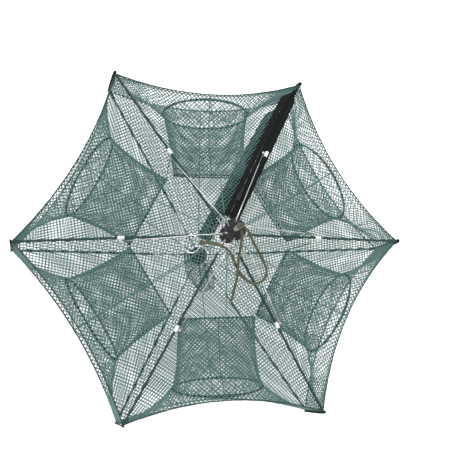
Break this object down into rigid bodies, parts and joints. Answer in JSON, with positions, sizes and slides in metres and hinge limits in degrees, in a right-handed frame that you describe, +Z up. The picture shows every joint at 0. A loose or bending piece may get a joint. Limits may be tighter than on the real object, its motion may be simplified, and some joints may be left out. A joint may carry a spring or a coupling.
{
  "type": "folding crab trap",
  "caption": "Hexagonal folding net trap on a spring-wire umbrella frame, with an oval entrance hoop and net funnel in each side and a pull rope on top.",
  "frame": {"origin": "under the middle of the bottom hub's foot, on the surface the trap stands on", "axes": "+Z up through both hubs, +X along the first rib, ribs counted anticlockwise from above"},
  "size_m": [0.8084, 0.708, 0.3392],
  "materials": {
    "spring_steel": "drawn spring wire",
    "plated_ring": "nickel plated",
    "white_nylon": "moulded nylon",
    "black_plastic": "moulded plastic",
    "clear_tube": "translucent tube",
    "black_webbing": "woven webbing",
    "zip_tape": "woven zip tape with coil",
    "green_wrap": "twine-wrapped wire",
    "olive_rope": "braided cord",
    "green_net": "knotted twine netting"
  },
  "bodies": {
    "bottom_hub": {"bottom_hub": "black_plastic", "bottom_hub_wire": "spring_steel", "bottom_net": "green_net", "side_net": "green_net"},
    "bottom_rib_1": {"bottom_rib_1": "spring_steel"},
    "corner_1": {"corner_strap_1": "black_webbing"},
    "hoop_1": {"entrance_hoop_1": "green_wrap", "entrance_funnel_1": "green_net"},
    "top_rib_1": {"top_rib_1": "spring_steel", "rib_clip_1": "white_nylon"},
    "strut_1": {"strut_1": "spring_steel"},
    "bottom_rib_2": {"bottom_rib_2": "spring_steel", "zip_tape_bottom": "zip_tape"},
    "corner_2": {"corner_strap_2": "black_webbing"},
    "hoop_2": {"entrance_hoop_2": "green_wrap", "entrance_funnel_2": "green_net"},
    "top_rib_2": {"top_rib_2": "spring_steel", "rib_clip_2": "white_nylon", "zip_tape_top": "zip_tape"},
    "strut_2": {"strut_2": "spring_steel"},
    "bottom_rib_3": {"bottom_rib_3": "spring_steel"},
    "corner_3": {"corner_strap_3": "black_webbing"},
    "hoop_3": {"entrance_hoop_3": "green_wrap", "entrance_funnel_3": "green_net"},
    "top_rib_3": {"top_rib_3": "spring_steel", "rib_clip_3": "white_nylon"},
    "strut_3": {"strut_3": "spring_steel"},
    "bottom_rib_4": {"bottom_rib_4": "spring_steel"},
    "corner_4": {"corner_strap_4": "black_webbing"},
    "hoop_4": {"entrance_hoop_4": "green_wrap", "entrance_funnel_4": "green_net"},
    "top_rib_4": {"top_rib_4": "spring_steel", "rib_clip_4": "white_nylon"},
    "strut_4": {"strut_4": "spring_steel"},
    "bottom_rib_5": {"bottom_rib_5": "spring_steel"},
    "corner_5": {"corner_strap_5": "black_webbing"},
    "hoop_5": {"entrance_hoop_5": "green_wrap", "entrance_funnel_5": "green_net"},
    "top_rib_5": {"top_rib_5": "spring_steel", "rib_clip_5": "white_nylon"},
    "strut_5": {"strut_5": "spring_steel"},
    "bottom_rib_6": {"bottom_rib_6": "spring_steel"},
    "corner_6": {"corner_strap_6": "black_webbing"},
    "hoop_6": {"entrance_hoop_6": "green_wrap", "entrance_funnel_6": "green_net"},
    "top_rib_6": {"top_rib_6": "spring_steel", "rib_clip_6": "white_nylon"},
    "strut_6": {"strut_6": "spring_steel"},
    "top_hub": {"top_hub": "black_plastic", "top_hub_wire": "spring_steel", "guide_tube": "clear_tube", "top_net": "green_net", "lift_rope": "olive_rope", "rope_tail": "olive_rope", "rope_knot": "olive_rope", "pull_ring": "plated_ring"},
    "crown": {"crown": "black_plastic", "crown_wire": "spring_steel"},
    "zip_slider": {"zip_slider": "black_plastic"}
  },
  "joints": [
    {"name": "fold", "type": "hinge", "parent": "bottom_hub", "child": "bottom_rib_1", "pos_m": [0.014, 0, 0.01], "axis": [0, -1, 0], "range_deg": [0, 64], "deforming": ["bottom_net", "side_net", "top_net", "zip_tape_top", "zip_tape_bottom", "entrance_funnel_1", "entrance_funnel_2", "entrance_funnel_3", "entrance_funnel_4", "entrance_funnel_5", "entrance_funnel_6"]},
    {"name": "corner_1_hinge", "type": "hinge", "parent": "bottom_rib_1", "child": "corner_1", "pos_m": [0.4, 0, 0.082], "axis": [0, -1, 0], "range_deg": [-64, 0]},
    {"name": "hoop_1_swing", "type": "hinge", "parent": "corner_1", "child": "hoop_1", "pos_m": [0.07877, -0.09863, 0.01], "axis": [0.7427, 0.6187, 0.2561], "range_deg": [0, 96.15]},
    {"name": "bottom_rib_2_hinge", "type": "hinge", "parent": "bottom_hub", "child": "bottom_rib_2", "pos_m": [0.007, 0.01212, 0.01], "axis": [0.866, -0.5, 0], "range_deg": [0, 64]},
    {"name": "corner_2_hinge", "type": "hinge", "parent": "bottom_rib_2", "child": "corner_2", "pos_m": [0.2, 0.34641, 0.082], "axis": [0.866, -0.5, 0], "range_deg": [-64, 0]},
    {"name": "hoop_2_swing", "type": "hinge", "parent": "corner_2", "child": "hoop_2", "pos_m": [0.1248, 0.0189, 0.01], "axis": [-0.1645, 0.9526, 0.2561], "range_deg": [0, 96.15]},
    {"name": "bottom_rib_3_hinge", "type": "hinge", "parent": "bottom_hub", "child": "bottom_rib_3", "pos_m": [-0.007, 0.01212, 0.01], "axis": [0.866, 0.5, 0], "range_deg": [0, 64]},
    {"name": "corner_3_hinge", "type": "hinge", "parent": "bottom_rib_3", "child": "corner_3", "pos_m": [-0.2, 0.34641, 0.082], "axis": [0.866, 0.5, 0], "range_deg": [-64, 0]},
    {"name": "hoop_3_swing", "type": "hinge", "parent": "corner_3", "child": "hoop_3", "pos_m": [0.04603, 0.11753, 0.01], "axis": [-0.9072, 0.3338, 0.2561], "range_deg": [0, 96.15]},
    {"name": "bottom_rib_4_hinge", "type": "hinge", "parent": "bottom_hub", "child": "bottom_rib_4", "pos_m": [-0.014, 0, 0.01], "axis": [0, 1, 0], "range_deg": [0, 64]},
    {"name": "corner_4_hinge", "type": "hinge", "parent": "bottom_rib_4", "child": "corner_4", "pos_m": [-0.4, 0, 0.082], "axis": [0, 1, 0], "range_deg": [-64, 0]},
    {"name": "hoop_4_swing", "type": "hinge", "parent": "corner_4", "child": "hoop_4", "pos_m": [-0.07877, 0.09863, 0.01], "axis": [-0.7427, -0.6187, 0.2561], "range_deg": [0, 96.15]},
    {"name": "bottom_rib_5_hinge", "type": "hinge", "parent": "bottom_hub", "child": "bottom_rib_5", "pos_m": [-0.007, -0.01212, 0.01], "axis": [-0.866, 0.5, 0], "range_deg": [0, 64]},
    {"name": "corner_5_hinge", "type": "hinge", "parent": "bottom_rib_5", "child": "corner_5", "pos_m": [-0.2, -0.34641, 0.082], "axis": [-0.866, 0.5, 0], "range_deg": [-64, 0]},
    {"name": "hoop_5_swing", "type": "hinge", "parent": "corner_5", "child": "hoop_5", "pos_m": [-0.1248, -0.0189, 0.01], "axis": [0.1645, -0.9526, 0.2561], "range_deg": [0, 96.15]},
    {"name": "bottom_rib_6_hinge", "type": "hinge", "parent": "bottom_hub", "child": "bottom_rib_6", "pos_m": [0.007, -0.01212, 0.01], "axis": [-0.866, -0.5, 0], "range_deg": [0, 64]},
    {"name": "corner_6_hinge", "type": "hinge", "parent": "bottom_rib_6", "child": "corner_6", "pos_m": [0.2, -0.34641, 0.082], "axis": [-0.866, -0.5, 0], "range_deg": [-64, 0]},
    {"name": "hoop_6_swing", "type": "hinge", "parent": "corner_6", "child": "hoop_6", "pos_m": [-0.04603, -0.11753, 0.01], "axis": [0.9072, -0.3338, 0.2561], "range_deg": [0, 96.15]},
    {"name": "top_rib_1_tip_hinge", "type": "hinge", "parent": "corner_1", "child": "top_rib_1", "pos_m": [0.4, 0, 0.178], "axis": [0, -1, 0], "range_deg": [-64, 0]},
    {"name": "top_hub_hinge", "type": "hinge", "parent": "top_rib_1", "child": "top_hub", "pos_m": [0.014, 0, 0.25], "axis": [0, -1, 0], "range_deg": [0, 64]},
    {"name": "top_rib_2_hinge", "type": "hinge", "parent": "top_hub", "child": "top_rib_2", "pos_m": [0.007, 0.01212, 0.25], "axis": [0.866, -0.5, 0], "range_deg": [-64, 0]},
    {"name": "top_rib_3_hinge", "type": "hinge", "parent": "top_hub", "child": "top_rib_3", "pos_m": [-0.007, 0.01212, 0.25], "axis": [0.866, 0.5, 0], "range_deg": [-64, 0]},
    {"name": "top_rib_4_hinge", "type": "hinge", "parent": "top_hub", "child": "top_rib_4", "pos_m": [-0.014, 0, 0.25], "axis": [0, 1, 0], "range_deg": [-64, 0]},
    {"name": "top_rib_5_hinge", "type": "hinge", "parent": "top_hub", "child": "top_rib_5", "pos_m": [-0.007, -0.01212, 0.25], "axis": [-0.866, 0.5, 0], "range_deg": [-64, 0]},
    {"name": "top_rib_6_hinge", "type": "hinge", "parent": "top_hub", "child": "top_rib_6", "pos_m": [0.007, -0.01212, 0.25], "axis": [-0.866, -0.5, 0], "range_deg": [-64, 0]},
    {"name": "crown_slide", "type": "slide", "parent": "top_hub", "child": "crown", "axis": [0, 0, 1], "range_m": [-0.03641, 0]},
    {"name": "strut_1_hinge", "type": "hinge", "parent": "crown", "child": "strut_1", "pos_m": [0.017, 0.0065, 0.3], "axis": [0, -1, 0], "range_deg": [-51.64, 0]},
    {"name": "strut_2_hinge", "type": "hinge", "parent": "crown", "child": "strut_2", "pos_m": [0.00287, 0.01797, 0.3], "axis": [0.866, -0.5, 0], "range_deg": [-51.64, 0]},
    {"name": "strut_3_hinge", "type": "hinge", "parent": "crown", "child": "strut_3", "pos_m": [-0.01413, 0.01147, 0.3], "axis": [0.866, 0.5, 0], "range_deg": [-51.64, 0]},
    {"name": "strut_4_hinge", "type": "hinge", "parent": "crown", "child": "strut_4", "pos_m": [-0.017, -0.0065, 0.3], "axis": [0, 1, 0], "range_deg": [-51.64, 0]},
    {"name": "strut_5_hinge", "type": "hinge", "parent": "crown", "child": "strut_5", "pos_m": [-0.00287, -0.01797, 0.3], "axis": [-0.866, 0.5, 0], "range_deg": [-51.64, 0]},
    {"name": "strut_6_hinge", "type": "hinge", "parent": "crown", "child": "strut_6", "pos_m": [0.01413, -0.01147, 0.3], "axis": [-0.866, -0.5, 0], "range_deg": [-51.64, 0]},
    {"name": "zip_slide", "type": "slide", "parent": "top_rib_2", "child": "zip_slider", "axis": [0.4915, 0.8513, -0.1834], "range_m": [0, 0.29]}
  ],
  "couplings": [
    {"joint": "corner_1_hinge", "follows": "fold", "ratio": -1},
    {"joint": "hoop_1_swing", "follows": "fold", "ratio": 1.5022},
    {"joint": "bottom_rib_2_hinge", "follows": "fold", "ratio": 1},
    {"joint": "corner_2_hinge", "follows": "fold", "ratio": -1},
    {"joint": "hoop_2_swing", "follows": "fold", "ratio": 1.5022},
    {"joint": "bottom_rib_3_hinge", "follows": "fold", "ratio": 1},
    {"joint": "corner_3_hinge", "follows": "fold", "ratio": -1},
    {"joint": "hoop_3_swing", "follows": "fold", "ratio": 1.5022},
    {"joint": "bottom_rib_4_hinge", "follows": "fold", "ratio": 1},
    {"joint": "corner_4_hinge", "follows": "fold", "ratio": -1},
    {"joint": "hoop_4_swing", "follows": "fold", "ratio": 1.5022},
    {"joint": "bottom_rib_5_hinge", "follows": "fold", "ratio": 1},
    {"joint": "corner_5_hinge", "follows": "fold", "ratio": -1},
    {"joint": "hoop_5_swing", "follows": "fold", "ratio": 1.5022},
    {"joint": "bottom_rib_6_hinge", "follows": "fold", "ratio": 1},
    {"joint": "corner_6_hinge", "follows": "fold", "ratio": -1},
    {"joint": "hoop_6_swing", "follows": "fold", "ratio": 1.5022},
    {"joint": "top_rib_1_tip_hinge", "follows": "fold", "ratio": -1},
    {"joint": "top_hub_hinge", "follows": "fold", "ratio": 1},
    {"joint": "top_rib_2_hinge", "follows": "fold", "ratio": -1},
    {"joint": "top_rib_3_hinge", "follows": "fold", "ratio": -1},
    {"joint": "top_rib_4_hinge", "follows": "fold", "ratio": -1},
    {"joint": "top_rib_5_hinge", "follows": "fold", "ratio": -1},
    {"joint": "top_rib_6_hinge", "follows": "fold", "ratio": -1},
    {"joint": "crown_slide", "follows": "fold", "m_per_rad": -0.032587},
    {"joint": "strut_1_hinge", "follows": "fold", "ratio": -0.80671},
    {"joint": "strut_2_hinge", "follows": "fold", "ratio": -0.80671},
    {"joint": "strut_3_hinge", "follows": "fold", "ratio": -0.80671},
    {"joint": "strut_4_hinge", "follows": "fold", "ratio": -0.80671},
    {"joint": "strut_5_hinge", "follows": "fold", "ratio": -0.80671},
    {"joint": "strut_6_hinge", "follows": "fold", "ratio": -0.80671}
  ]
}
